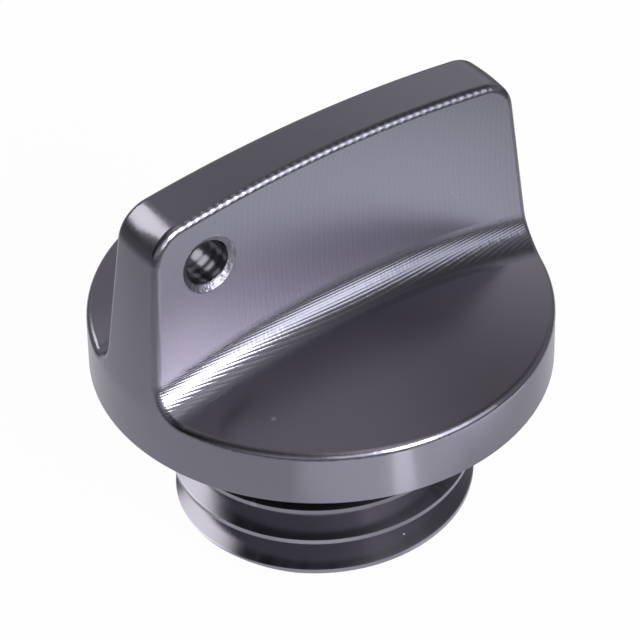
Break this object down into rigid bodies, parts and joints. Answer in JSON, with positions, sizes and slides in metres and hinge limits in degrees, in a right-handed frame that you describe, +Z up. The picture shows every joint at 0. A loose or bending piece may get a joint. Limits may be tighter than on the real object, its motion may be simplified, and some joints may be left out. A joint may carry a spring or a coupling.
{
  "type": "oil filler cap",
  "caption": "Screw-in oil filler cap: coarse threaded spigot, sealing ring, domed flange and an upright finger blade drilled for lock wire.",
  "frame": {"origin": "centre of the spigot's end face, which is the lowest point", "axes": "+Z up along the thread's axis, away from the engine; +X along the finger blade, with the lock-wire hole at its -X end"},
  "size_m": [0.0298, 0.0298, 0.029],
  "materials": {
    "anodised_aluminium": "turned and milled, anodised titanium grey, satin",
    "nitrile_rubber": "smooth moulded black rubber"
  },
  "bodies": {
    "root": {"cap_body": "anodised_aluminium", "o_ring": "nitrile_rubber"}
  },
  "joints": []
}
